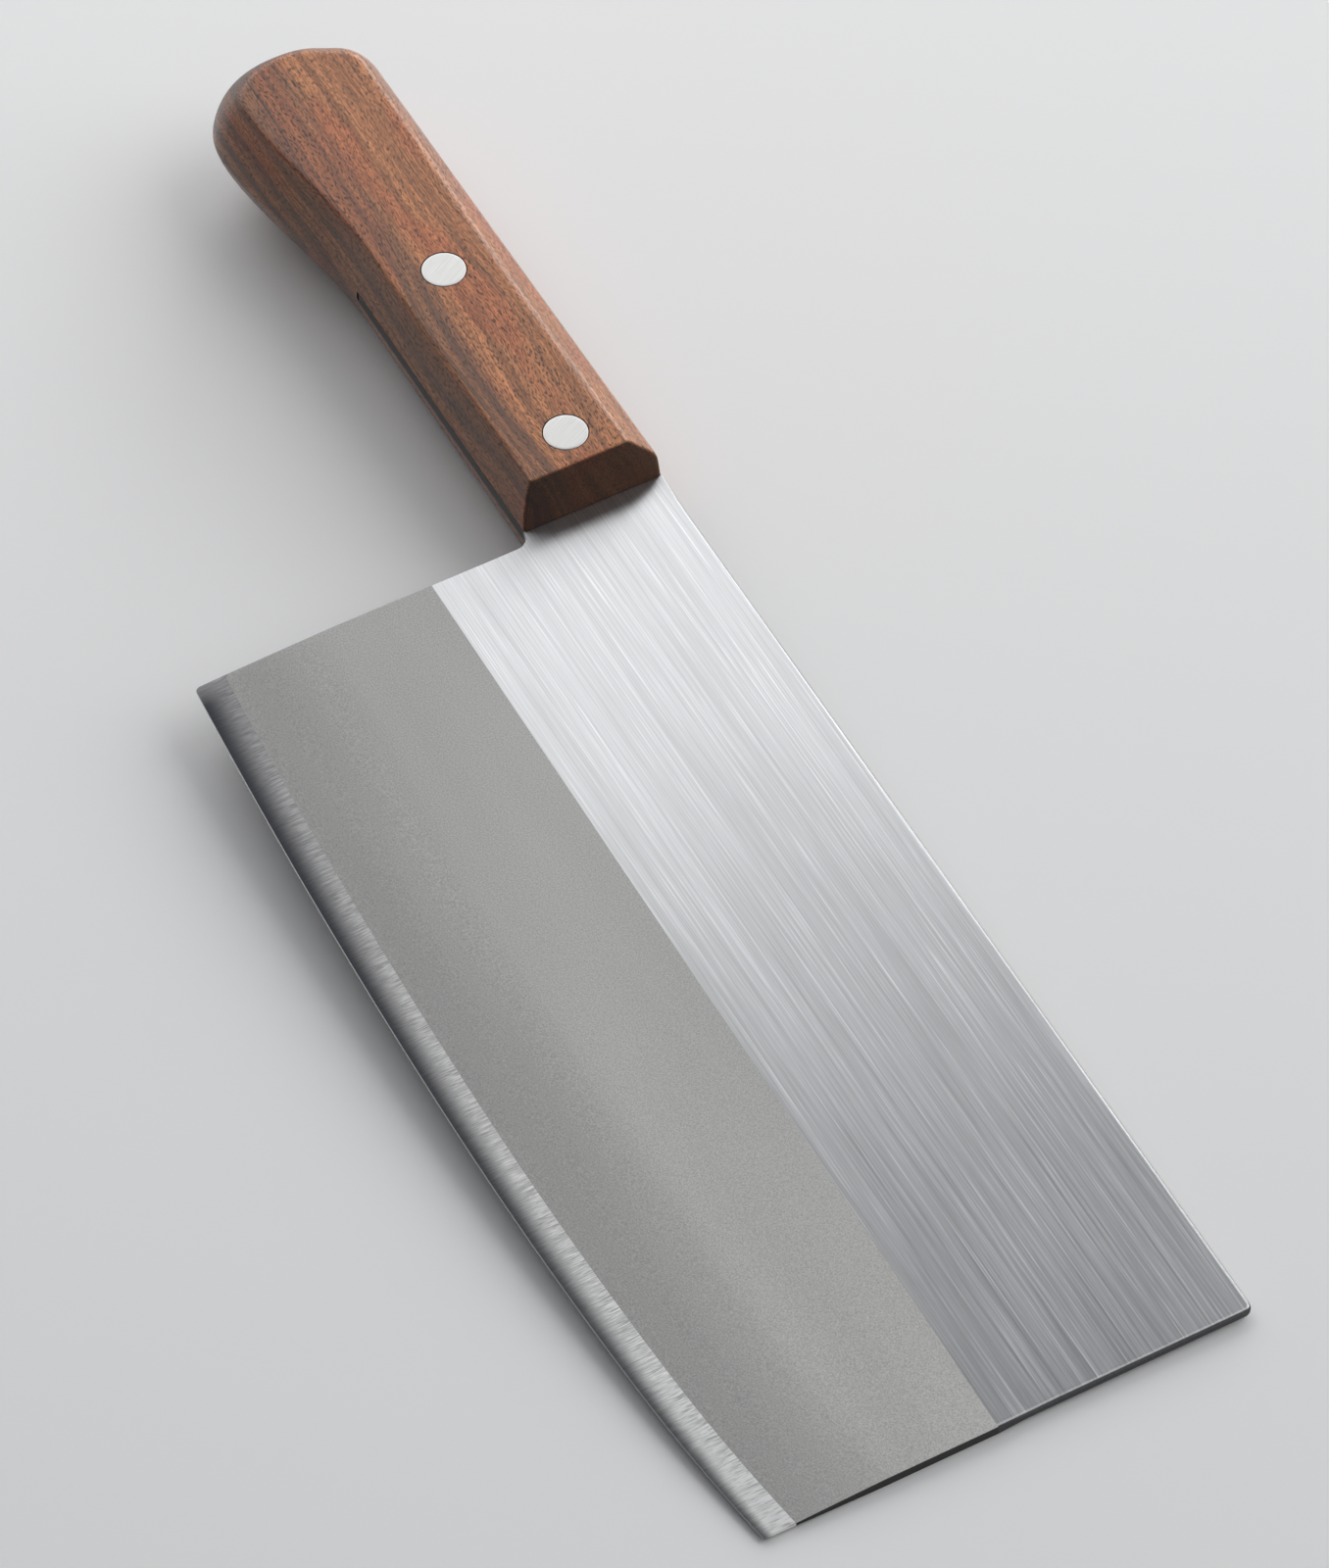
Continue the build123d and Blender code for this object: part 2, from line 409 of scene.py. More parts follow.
def makeMatteSteel():
    look = matte
    material, tree, shader = newMaterial("matteSteel")
    where = placeInMm(tree)
    grain = noise(tree, where, 1 / look["grainSize"], look["grainDetail"], look["grainRoughness"])
    half = look["grainContrast"] / 2
    factor = product(
        tree,
        fullRange(tree, grain, 1 - half, 1 + half),
        mottleOf(tree, drawnOut(tree, where, look["mottleStretch"], 1.0), look),
        # Painted shade: darker towards the bevel, standing in for the shading of the rounded grind
        remap(tree, edgeDistanceOf(tree), *look["nearBevelRange"], look["bevelSideShade"], 1.0),
        # Painted light: lighter towards the front
        remap(tree, split(tree, where)[0], *look["atFrontRange"], 1.0, look["frontLight"], smooth=False),
        # Painted shade on the cut ends
        faceShadeFactor(tree, (1, 0, 0), look["endFaceShade"]),
    )
    finishMetal(tree, shader, look, dimmed(tree, look["colour"], factor), grain, grain)
    return material


bevel = {
    "edgeShadeAtHeel": (0.038, 0.039, 0.045, 1), "edgeShadeAtFront": (0.19, 0.19, 0.195, 1),
    "grindLightAtHeel": (0.20, 0.20, 0.203, 1), "grindLightAtFront": (0.98, 0.98, 0.96, 1),
    "heelEndShade": (0.15, 0.15, 0.153, 1), "heelEndRange": (3.0, 7.5),
    "frontRange": (5.0, 205.0), "frontPower": 1.25, "nearFrontPower": 2.0,
    "riseFrom": 0.2, "riseAtHeel": 5.6, "riseAtFront": 2.0,
    "microHighlight": (0.36, 0.36, 0.36, 1), "microRange": (0.098, 0.182),
    "roughness": 0.34, "roughnessSpread": 0.1, "strokeLength": 3.6, "strokeWidth": 0.22,
    "contrast": 0.95, "edgeContrast": 0.38, "contrastRange": (1.0, 5.8), "bump": 0.15, "bumpDepth": 0.02,
}


def makeBevelSteel():
    look = bevel
    material, tree, shader = newMaterial("bevelSteel")
    x, y, z = split(tree, placeInMm(tree))
    # Ground square to the edge: the strokes run across the bevel
    lines = strokesOf(tree, join(tree, y, x, z), look)
    distance = edgeDistanceOf(tree)
    # Painted shade and light: the colour runs from dark at the cutting edge (low) to light beside the grind
    # (high), and from dark at the heel to nearly white at the front
    front = maths(tree, "POWER", remap(tree, x, *look["frontRange"], smooth=False), look["frontPower"])
    nearFront = maths(tree, "POWER", front, look["nearFrontPower"])
    low = mixColour(tree, nearFront, look["edgeShadeAtHeel"], look["edgeShadeAtFront"])
    high = mixColour(tree, front, look["grindLightAtHeel"], look["grindLightAtFront"])
    # The painted shade by the edge gets narrower towards the front
    reach = maths(tree, "MULTIPLY_ADD", nearFront, look["riseAtFront"] - look["riseAtHeel"],
                  look["riseAtHeel"])
    # The painted shade by the edge is lighter over the last few mm at the heel
    fromHeel = remap(tree, x, *look["heelEndRange"], 1.0, 0.0)
    low = mixColour(tree, fromHeel, low, look["heelEndShade"])
    colour = mixColour(tree, remap(tree, distance, look["riseFrom"], reach), low, high)
    # The strokes show most beside the grind
    depth = remap(tree, distance, *look["contrastRange"], look["edgeContrast"], look["contrast"])
    centred = maths(tree, "SUBTRACT", lines["Fine"], 0.5)
    colour = dimmed(tree, colour, maths(tree, "MULTIPLY_ADD", centred, depth, 1.0))
    # Painted highlight: a thin light line along the cutting edge
    edgeHighlight = remap(tree, distance, *look["microRange"], 1.0, 0.0)
    colour = mixColour(tree, edgeHighlight, colour, look["microHighlight"])
    finishMetal(tree, shader, look, colour, lines["Fine"], lines["Height"])
    return material


rivetLook = {
    "colour": (0.595, 0.591, 0.58, 1), "roughness": 0.42, "roughnessSpread": 0.1, "strokeAngle": 62.0,
    "strokeLength": 9.0, "strokeWidth": 0.14, "contrast": 0.34, "bump": 0.15, "bumpDepth": 0.01,
}


def makeRivetMetal():
    look = rivetLook
    material, tree, shader = newMaterial("rivetMetal")
    turn = tree.nodes.new("ShaderNodeMapping")
    turn.inputs["Rotation"].default_value = (0, 0, math.radians(look["strokeAngle"]))
    tree.links.new(placeInMm(tree), turn.inputs["Vector"])
    lines = strokesOf(tree, turn.outputs[0], look)
    colour = dimmed(tree, look["colour"], around(tree, lines["Fine"], 1.0, look["contrast"]))
    finishMetal(tree, shader, look, colour, lines["Fine"], lines["Height"])
    return material


# Wood

# Pairs such as wave and fibre say how fast a texture changes along and across the grain
wood = {
    "light": (0.585, 0.226, 0.083, 1), "middle": (0.36, 0.13, 0.045, 1), "lightRange": (0.36, 0.62),
    "red": (0.49, 0.133, 0.047, 1), "redRange": (0.5, 0.64), "redShare": 0.6, "patch": (0.035, 0.14),
    "ringCentre": (0.0, -150.0, -46.0), "ringStretch": 0.03, "ringWidth": 1.6, "ringDetail": 3.0,
    "wave": (0.018, 0.07), "waveSize": 7.0,
    "dark": (0.062, 0.03, 0.022, 1), "darkRange": (-15.5, -22.0), "darkOnTop": 0.1,
    "streakWidth": 3.04, "streakDetail": 1.0, "streakRange": (0.58, 0.42), "streakShare": 0.68,
    "lineWidth": 0.5, "lineDetail": 2.0, "lineRange": (0.5, 0.34), "lineShare": 0.9, "lineOnTop": 0.2,
    "drift": (0.03, 0.5), "driftDetail": 2.0, "driftRange": (0.42, 0.6),
    "bellySide": 0.7, "bellySideRange": (-18.5, -23.0),
    "fibre": (0.06, 2.2), "fibreDetail": 4.0, "fibreRoughness": 0.75, "fibreContrast": 1.0,
    "pore": (0.03, 0.011, 0.006, 1), "poreLength": 1.0, "poreWidth": 0.155, "poreRange": (0.57, 0.64),
    "poreShare": 0.8, "endGrainAndShade": 0.2, "endCoat": 0.15, "endRange": (0.3, 0.9),
    "roughness": 0.42, "roughnessSpread": 0.2, "poreRoughness": 0.25, "specular": 0.3,
    "coat": 0.5, "coatRoughness": 0.2, "fibreHeight": 0.5, "bump": 0.3, "bumpDepth": 0.05,
}


def onRing(tree, ring, width, detail):
    return noise(tree, join(tree, maths(tree, "DIVIDE", ring, width)), 1.0, detail, 0.6)


def makeWood():
    look = wood
    material, tree, shader = newMaterial("handleWood")
    where = placeInMm(tree)
    depth = split(tree, where)[1]
    # Slow waves bend the growth rings
    wave = noiseNode(tree, drawnOut(tree, where, *look["wave"]), 1.0, 1.0).outputs["Color"]
    bend = vectorMaths(tree, "SUBTRACT", wave, (0.5, 0.5, 0.5))
    bend = drawnOut(tree, bend, 0.0, look["waveSize"])
    bent = vectorMaths(tree, "ADD", where, bend)
    fromCentre = vectorMaths(tree, "SUBTRACT", bent, look["ringCentre"])
    ring = vectorMaths(tree, "LENGTH", drawnOut(tree, fromCentre, look["ringStretch"], 1.0))
    bands = onRing(tree, ring, look["ringWidth"], look["ringDetail"])
    broad = onRing(tree, ring, look["streakWidth"], look["streakDetail"])
    lines = onRing(tree, ring, look["lineWidth"], look["lineDetail"])
    fibre = noise(tree, drawnOut(tree, bent, *look["fibre"]), 1.0, look["fibreDetail"],
                  look["fibreRoughness"])
    drift = noise(tree, drawnOut(tree, bent, *look["drift"]), 1.0, look["driftDetail"])
    patch = noise(tree, drawnOut(tree, where, *look["patch"]), 1.0, 1.0)

    colour = mixColour(tree, remap(tree, bands, *look["lightRange"]), look["middle"], look["light"])
    redness = remap(tree, patch, *look["redRange"], 0.0, look["redShare"])
    colour = mixColour(tree, redness, colour, look["red"])
    # Greyish dark streaks, most of them towards the belly side
    lowDown = remap(tree, depth, *look["darkRange"], look["darkOnTop"], 1.0)
    streaks = remap(tree, broad, *look["streakRange"], 0.0, look["streakShare"])
    thin = product(tree, remap(tree, lines, *look["lineRange"]), remap(tree, drift, *look["driftRange"]))
    darkness = maths(tree, "MAXIMUM", streaks, product(tree, thin, look["lineShare"]))
    darkness = maths(tree, "MAXIMUM", product(tree, darkness, lowDown),
                     product(tree, thin, look["lineOnTop"]))
    colour = mixColour(tree, darkness, colour, look["dark"])
    # Darker towards the belly side
    colour = dimmed(tree, colour, remap(tree, depth, *look["bellySideRange"], 1.0, look["bellySide"]))
    half = look["fibreContrast"] / 2
    colour = dimmed(tree, colour, fullRange(tree, fibre, 1 - half, 1 + half))
    # Pores: short dark dashes that follow the grain
    poreField = drawnOut(tree, bent, 1 / look["poreLength"], 1 / look["poreWidth"])
    pores = remap(tree, noise(tree, poreField, 1.0, 0.0), *look["poreRange"])
    colour = mixColour(tree, product(tree, pores, look["poreShare"]), colour, look["pore"])
    # Cut across the grain, at the front end and the butt, the wood is less shiny and darker in colour; the
    # darkening is partly the end grain's own tone and partly painted shade
    facing = facingAlong(tree, (1, 0, 0))
    colour = dimmed(tree, colour, remap(tree, facing, *look["endRange"], 1.0, look["endGrainAndShade"]))
    tree.links.new(colour, shader.inputs["Base Color"])
    rough = around(tree, fibre, look["roughness"], look["roughnessSpread"])
    rough = maths(tree, "MULTIPLY_ADD", pores, look["poreRoughness"], rough)
    tree.links.new(rough, shader.inputs["Roughness"])
    shader.inputs["Specular IOR Level"].default_value = look["specular"]
    coat = remap(tree, facing, *look["endRange"], look["coat"], look["coat"] * look["endCoat"])
    tree.links.new(coat, shader.inputs["Coat Weight"])
    shader.inputs["Coat Roughness"].default_value = look["coatRoughness"]
    height = maths(tree, "SUBTRACT", product(tree, fibre, look["fibreHeight"]), pores)
    addBump(tree, shader, look, height)
    return material


hairlineSteel = makeHairlineSteel()
matteSteel = makeMatteSteel()
bevelSteel = makeBevelSteel()
handleWood = makeWood()
rivetMetal = makeRivetMetal()
print("finishes ready")


# Blade

blade = {
    "neckLength": 2.5, "length": 197.7, "heelHeight": 92.6, "bellyHeight": 96.3, "frontHeight": 90.1,
    "bellyPlace": 0.515, "turnPlace": 0.825, "turnRise": 0.34,
    "stock": 2.2, "frontStock": 2.0, "zoneAtHeel": 46.8, "zoneAtFront": 47.5,
    "grindWidth": 22.0, "grindHalf": 1.0, "grindCrown": 0.026,
    "bevelWidth": 5.8, "bevelHalf": 0.36, "bevelCrown": 0.02, "landHalf": 0.05,
    "arris": 0.8, "fineArris": 0.12, "arrisGrowth": 9.0, "frontArris": 0.072,
    "tipCorner": 1.6, "heelCorner": 1.2, "leastHalf": 0.25,
    "tangLength": 64.0, "tangHeight": 27.3, "tangCorner": 0.6, "neckFillet": 2.8,
    "spineDropPerMm": 0.8 / 106.92, "holeRadius": 2.75, "farFromEdge": 60.0, "strokeUnit": 200.0,
    "holeSides": 48, "sharpAngle": 32,
}
rivetPlaces = {"front": (-9.9, -13.7), "rear": (-53.9, -14.8)}


def tangentArc(start, direction, end):
    # Centre and radius of the arc that leaves start along direction and ends at end.
    # The radius is negative where the arc bends to the right.
    dx, dy = end[0] - start[0], end[1] - start[1]
    c, s = direction
    radius = (dx * dx + dy * dy) / (2 * (dy * c - dx * s))
    return start[0] - s * radius, start[1] + c * radius, radius


def makeEdgeCurve():
    b = blade
    bellyX = b["neckLength"] + b["length"] * b["bellyPlace"]
    turnX = b["neckLength"] + b["length"] * b["turnPlace"]
    frontX = b["neckLength"] + b["length"]
    turnY = -b["bellyHeight"] + (b["bellyHeight"] - b["frontHeight"]) * b["turnRise"]
    belly = (bellyX, -b["bellyHeight"])
    heelArc = tangentArc(belly, (-1, 0), (b["neckLength"], -b["heelHeight"]))
    middleArc = tangentArc(belly, (1, 0), (turnX, turnY))
    lean = math.asin((turnX - middleArc[0]) / middleArc[2])
    frontArc = tangentArc((turnX, turnY), (math.cos(lean), math.sin(lean)), (frontX, -b["frontHeight"]))

    def edgeY(x):
        cx, cy, radius = heelArc if x < bellyX else (middleArc if x < turnX else frontArc)
        return cy - math.sqrt(radius * radius - (x - cx) ** 2)
    return edgeY


edgeY = makeEdgeCurve()


def roundDrop(distance, radius):
    # How far a rounded edge has fallen at a distance from its border
    if distance >= radius:
        return 0.0
    return radius - math.sqrt(max(0.0, radius * radius - (radius - distance) ** 2))


def ease(value, low, high):
    t = min(1.0, max(0.0, (value - low) / (high - low)))
    return t * t * (3 - 2 * t)


def halfThickness(x):
    b = blade
    share = max(0.0, (x - b["neckLength"]) / b["length"])
    return (b["stock"] + (b["frontStock"] - b["stock"]) * share) / 2


def grindHalf(distance):
    # Half the thickness at a distance from the cutting edge
    b = blade
    if distance <= b["bevelWidth"]:
        s = distance / b["bevelWidth"]
        return b["landHalf"] + (b["bevelHalf"] - b["landHalf"]) * s + b["bevelCrown"] * 4 * s * (1 - s)
    span = b["grindWidth"] - b["bevelWidth"]
    s = (distance - b["bevelWidth"]) / span
    rise = b["grindHalf"] - b["bevelHalf"]
    if s <= 1:
        return b["bevelHalf"] + rise * s + b["grindCrown"] * 4 * s * (1 - s)
    return b["grindHalf"] + (distance - b["grindWidth"]) * (rise - 4 * b["grindCrown"]) / span


def grindStart(x):
    b = blade
    slope = (b["grindHalf"] - b["bevelHalf"] - 4 * b["grindCrown"]) / (b["grindWidth"] - b["bevelWidth"])
    return b["grindWidth"] + (halfThickness(x) - b["grindHalf"]) / slope


def makeBlade():
    b = blade
    heelX, frontX = b["neckLength"], b["neckLength"] + b["length"]
    shoulder = b["tangHeight"] + b["neckFillet"]
    upperRows = [0, .03, .08, .16, .27, .4, .6, .8, 1.1, 2, 5, 10, 15, 20, 25, 28, 29.6, 29.95, shoulder]

    # Columns of the tang and the neck: place, drop at the top and depth of the bottom
    neckColumns = []
    steps = 8
    for k in range(steps + 1):
        a = math.radians(90 * k / steps)
        x = -b["tangLength"] + b["tangCorner"] * (1 - math.cos(a))
        drop = b["tangCorner"] * (1 - math.sin(a))
        neckColumns.append((x, drop, b["tangHeight"] - drop))
    for x in (-52, -45, -38, -31, -24, -17, -10, -5, -2, -1):
        neckColumns.append((x, 0.0, b["tangHeight"]))
    for k in range(steps):
        a = math.radians(90 * k / steps)
        x = heelX - b["neckFillet"] + b["neckFillet"] * math.sin(a)
        neckColumns.append((x, 0.0, b["tangHeight"] + b["neckFillet"] * (1 - math.cos(a))))
    heelSteps = [0, .02, .05, .09, .15, .3, .55, .85, 1.2, 2, 3.5]
    frontSteps = [0, .02, .05, .1, .17, .27, .4, .6, .8, 1.1, 1.6, 3, 5.5]
    middle = list(np.linspace(heelX + 7, frontX - 9, 36))
    bladeColumns = [heelX + s for s in heelSteps] + middle + [frontX - s for s in frontSteps[::-1]]

    # Rows below the spine's, down to the cutting edge
    aboveZone = [36, 42]
    zoneSteps = [-0.03, 0.03, 5, 11, 17]
    aboveGrind = [1.6, 0.8, 0.0]
    grindShares = [0.86, 0.7, 0.52, 0.34, 0.18, 0.06]
    bevelRows = [5.86, 5.8, 5.6, 5.0, 4.2, 3.4, 2.6, 1.8, 1.1, 0.55, 0.32, 0.12, 0.0]

    def zoneY(x):
        return b["zoneAtHeel"] + (b["zoneAtFront"] - b["zoneAtHeel"]) * (x - heelX) / b["length"]

    def lowerRows(x):
        # Depths below the spine, with the row's distance from the cutting edge
        edge = -edgeY(x) - roundDrop(x - heelX, b["heelCorner"])
        zone = zoneY(x)
        start = edge - grindStart(x)
        depths = aboveZone + [zone + s for s in zoneSteps]
        # The rows between the zone and the grind keep clear of the grind, in their order
        for k in range(4, len(depths)):
            depths[k] = min(depths[k], start - 2.4 - 0.1 * (len(depths) - k))
        depths += [start - s for s in aboveGrind]
        span = grindStart(x) - bevelRows[0]
        depths += [edge - bevelRows[0] - span * s for s in grindShares]
        depths += [edge - s for s in bevelRows]
        return depths, edge

    points, distances = [], []

    def addPair(x, y, half, distance):
        points.append((x, y, half))
        points.append((x, y, -half))
        distances.extend((distance, distance))
        return len(points) - 2

    def spineArris(x):
        return b["fineArris"] + (b["arris"] - b["fineArris"]) * ease(x, 0.0, b["arrisGrowth"])

    columns = []
    for x, topDrop, bottom in neckColumns:
        top = topDrop - b["spineDropPerMm"] * min(x, 0.0)
        rows = []
        for offset in upperRows:
            depth = top + (bottom - top) * offset / shoulder
            fall = roundDrop(depth - top, spineArris(x)) + roundDrop(bottom - depth, b["fineArris"])
            rows.append(addPair(x, -depth, halfThickness(x) - fall, b["farFromEdge"]))
        columns.append(rows)
    neckCount = len(columns)
    zoneRow = len(upperRows) + len(aboveZone)
    bevelRow = zoneRow + len(zoneSteps) + len(aboveGrind) + len(grindShares)
    for x in bladeColumns:
        topDrop = roundDrop(frontX - x, b["tipCorner"])
        depths, edge = lowerRows(x)
        allDepths = [topDrop + (shoulder - topDrop) * o / shoulder for o in upperRows] + depths
        rows = []
        for k, depth in enumerate(allDepths):
            distance = edge - depth
            half = min(halfThickness(x), grindHalf(max(0.0, distance)))
            frontArris = b["arris"] if k < zoneRow else b["frontArris"]
            falls = [roundDrop(depth - topDrop, spineArris(x)), roundDrop(frontX - x, frontArris)]
            if k >= len(upperRows):
                falls.append(roundDrop(x - heelX, b["fineArris"] * min(1.0, half)))
            fall = math.sqrt(sum(f * f for f in falls))
            half = max(half - fall, min(half, b["leastHalf"] if k < bevelRow else b["landHalf"]))
            rows.append(addPair(x, -depth, half, distance))
        columns.append(rows)

    faces, kinds = [], []
    neckRows = len(upperRows) - 1

    def addFace(corners, kind):
        faces.append(corners)
        kinds.append(kind)

    def kindOf(row):
        # Hairline, matte or bevel, in the order of the materials
        return 0 if row < zoneRow else (1 if row < bevelRow else 2)

    def addWall(a, c, kind):
        addFace((a, c, c + 1, a + 1), kind)

    for i in range(len(columns) - 1):
        left, right = columns[i], columns[i + 1]
        last = neckRows if i < neckCount else len(right) - 1
        for j in range(last):
            kind = kindOf(j)
            addFace((left[j], left[j + 1], right[j + 1], right[j]), kind)
            addFace((left[j] + 1, right[j] + 1, right[j + 1] + 1, left[j + 1] + 1), kind)
        addWall(left[0], right[0], 0)
        addWall(left[last], right[last], 0 if i < neckCount else 2)
    for j in range(neckRows):
        addWall(columns[0][j], columns[0][j + 1], 0)
    heel, front = columns[neckCount], columns[-1]
    for j in range(neckRows, len(heel) - 1):
        addWall(heel[j], heel[j + 1], kindOf(j))
    for j in range(len(front) - 1):
        addWall(front[j], front[j + 1], kindOf(j))

    piece = makePiece("bladeSteel", points, faces, [hairlineSteel, matteSteel, bevelSteel], kinds)
    for place in rivetPlaces.values():
        cutFrom(piece, *barrel(place, b["holeRadius"], -3, 3, b["holeSides"]))
    mesh = piece.data
    places = np.array([v.co for v in mesh.vertices], float) / mm - np.array(rowOffset)
    toEdge = [(y - edgeY(x)) if x >= heelX else b["farFromEdge"] for x, y, z in places]
    attribute = mesh.attributes.new("edgeDistance", "FLOAT", "POINT")
    attribute.data.foreach_set("value", np.array(toEdge, np.float32))
    layer = mesh.uv_layers.new(name="stroke")
    corners = np.array([loop.vertex_index for loop in mesh.loops])
    layer.data.foreach_set("uv", (places[corners][:, 1::-1] / b["strokeUnit"]).astype(np.float32).ravel())
    softShading(piece, b["sharpAngle"])
    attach(piece, "root")
    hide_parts("blade")
    return piece


bladePiece = makeBlade()
print("blade built,", len(bladePiece.data.polygons), "faces")


# Handle

handle = {
    "length": 121.5, "half": 10.5, "height": 27.3, "bellyInset": 2.8, "frontRake": 2.8,
    "spineDrop": 0.8, "shoulder": 5.0, "swell": 33.8, "swellInset": 5.3,
    "straight": 0.52, "swellPlace": 0.87, "sinkLoss": 0.36, "sinkRange": (40.0, 108.0), "cornerSink": 0.15,
    "halfLevel": 0.52, "halfInset": 0.36, "frontCorner": 0.7, "rakeFade": 12.0,
    "crestButt": ((-108.0, -0.8), (-116.6, -0.8), (-119.2, -6.4), (-119.9, -7.9), (-121.4, -11.2),
                  (-121.2, -18.0), (-121.0, -25.3), (-116.4, -29.4), (-111.6, -33.7)),
    "flatButt": ((-106.0, -3.95), (-109.0, -4.1), (-110.4, -6.6), (-112.9, -11.0), (-114.5, -13.9),
                 (-114.2, -18.0), (-114.0, -22.0), (-111.9, -24.9), (-109.3, -28.5)),
    "shoulderSoftness": 0.5, "frontRound": 0.4, "bellyRound": 0.9, "buttRound": 1.1, "spineRound": 1.3,
    "buttRange": (92.0, 108.0), "frontRoundEnd": 11.0, "spineSide": -9.0,
    "slotHalf": 1.15, "slotLength": 64.3, "boreRadius": 2.64, "seatRadius": 4.16, "seatLevel": 8.1,
    "boreSides": 48, "seatSides": 96, "sharpAngle": 35,
}


def bezier(points, count):
    # Points on a Bezier curve, without its last
    p = np.array(points, float)
    out = []
    for k in range(count):
        t = k / count
        q = p
        while len(q) > 1:
            q = q[:-1] * (1 - t) + q[1:] * t
        out.append(q[0])
    return out


def quarterTurn(centre, radius, start, count):
    out = []
    for k in range(count):
        a = math.radians(start + 90 * k / count)
        out.append((centre[0] + radius * math.cos(a), centre[1] + radius * math.sin(a)))
    return out


def handleLoop(share):
    # The outline at the crest (share 0) or at the flat face (share 1), round from the front end
    # of the spine, and how much each of its points sinks with the bevel along the spine
    h = handle
    belly = -h["height"] + h["bellyInset"] * share
    swell = -h["swell"] + h["swellInset"] * share
    straightEnd = -h["length"] * h["straight"]
    swellX = -h["length"] * h["swellPlace"]
    corner = h["frontCorner"]
    butt = h["flatButt"] if share > 0.5 else h["crestButt"]
    spineEnd = butt[0][0]

    def sinkAt(x):
        return 1 - h["sinkLoss"] * ease(-x, *h["sinkRange"])

    # The last number of each stretch is how many points it gets
    spine = bezier([(-corner, 0), (spineEnd, -h["spineDrop"])], 36)
    loop = quarterTurn((-corner, -corner), corner, 0, 6) + spine
    sink = [1.0] * 6 + [sinkAt(p[0]) for p in spine]
    # Round the butt: the spine's corner, a nearly straight stretch, the end, and the lower corner.
    # The flat face's points are given where they end up, so what they sink is added first.
    upperButt = bezier(butt[0:3], 12) + bezier(butt[2:4], 4) + bezier(butt[3:6], 12)
    fading = [1 - (1 - h["cornerSink"]) * k / 12 for k in range(12)]
    fading += [h["cornerSink"] * (1 - k / 16) for k in range(16)]
    fading = [sinkAt(spineEnd) * f for f in fading]
    if share > 0.5:
        upperButt = [(p[0], p[1] + h["shoulder"] * s) for p, s in zip(upperButt, fading)]
    loop += upperButt
    sink += fading
    bellySide = bezier(butt[5:8], 12) + bezier([*butt[7:9], (swellX, swell)], 14)
    bellySide += bezier([(swellX, swell), (swellX + 14, swell), (straightEnd - 17, belly),
                         (straightEnd, belly)], 26)
    bellySide += bezier([(straightEnd, belly), (-corner, belly)], 26)
    bellySide += quarterTurn((-corner, belly + corner), corner, 270, 6)
    loop += bellySide
    sink += [0.0] * len(bellySide)
    loop += bezier([(0, belly + corner), (0, -corner)], 16)
    sink += [k / 16 for k in range(16)]
    return np.array(loop), np.array(sink)


def handleLevels():
    # Returns a function that gives the outline at a height above the middle
    h = handle
    (crest, sink), (flat, _) = handleLoop(0.0), handleLoop(1.0)
    bend = (h["halfInset"] - h["halfLevel"]) / (h["halfLevel"] ** 2 - h["halfLevel"])
    soft = h["shoulderSoftness"]
    begin = h["half"] - h["shoulder"]
    done = {}

    def level(z):
        z = round(float(z), 4)
        if z not in done:
            t = z / h["half"]
            loop = crest + (flat - crest) * (bend * t * t + (1 - bend) * t)
            lowered = soft * (np.logaddexp(0, (z - begin) / soft) - np.logaddexp(0, -begin / soft))
            lift = soft * (np.logaddexp(0, h["shoulder"] / soft) - np.logaddexp(0, -begin / soft))
            y = loop[:, 1] - lowered * h["shoulder"] / lift * sink
            nearFront = np.clip(loop[:, 0] / h["rakeFade"] + 1, 0, 1)
            x = loop[:, 0] - h["frontRake"] * t * nearFront
            done[z] = np.stack([x, y, np.full(len(x), z)], 1)
        return done[z]
    return level


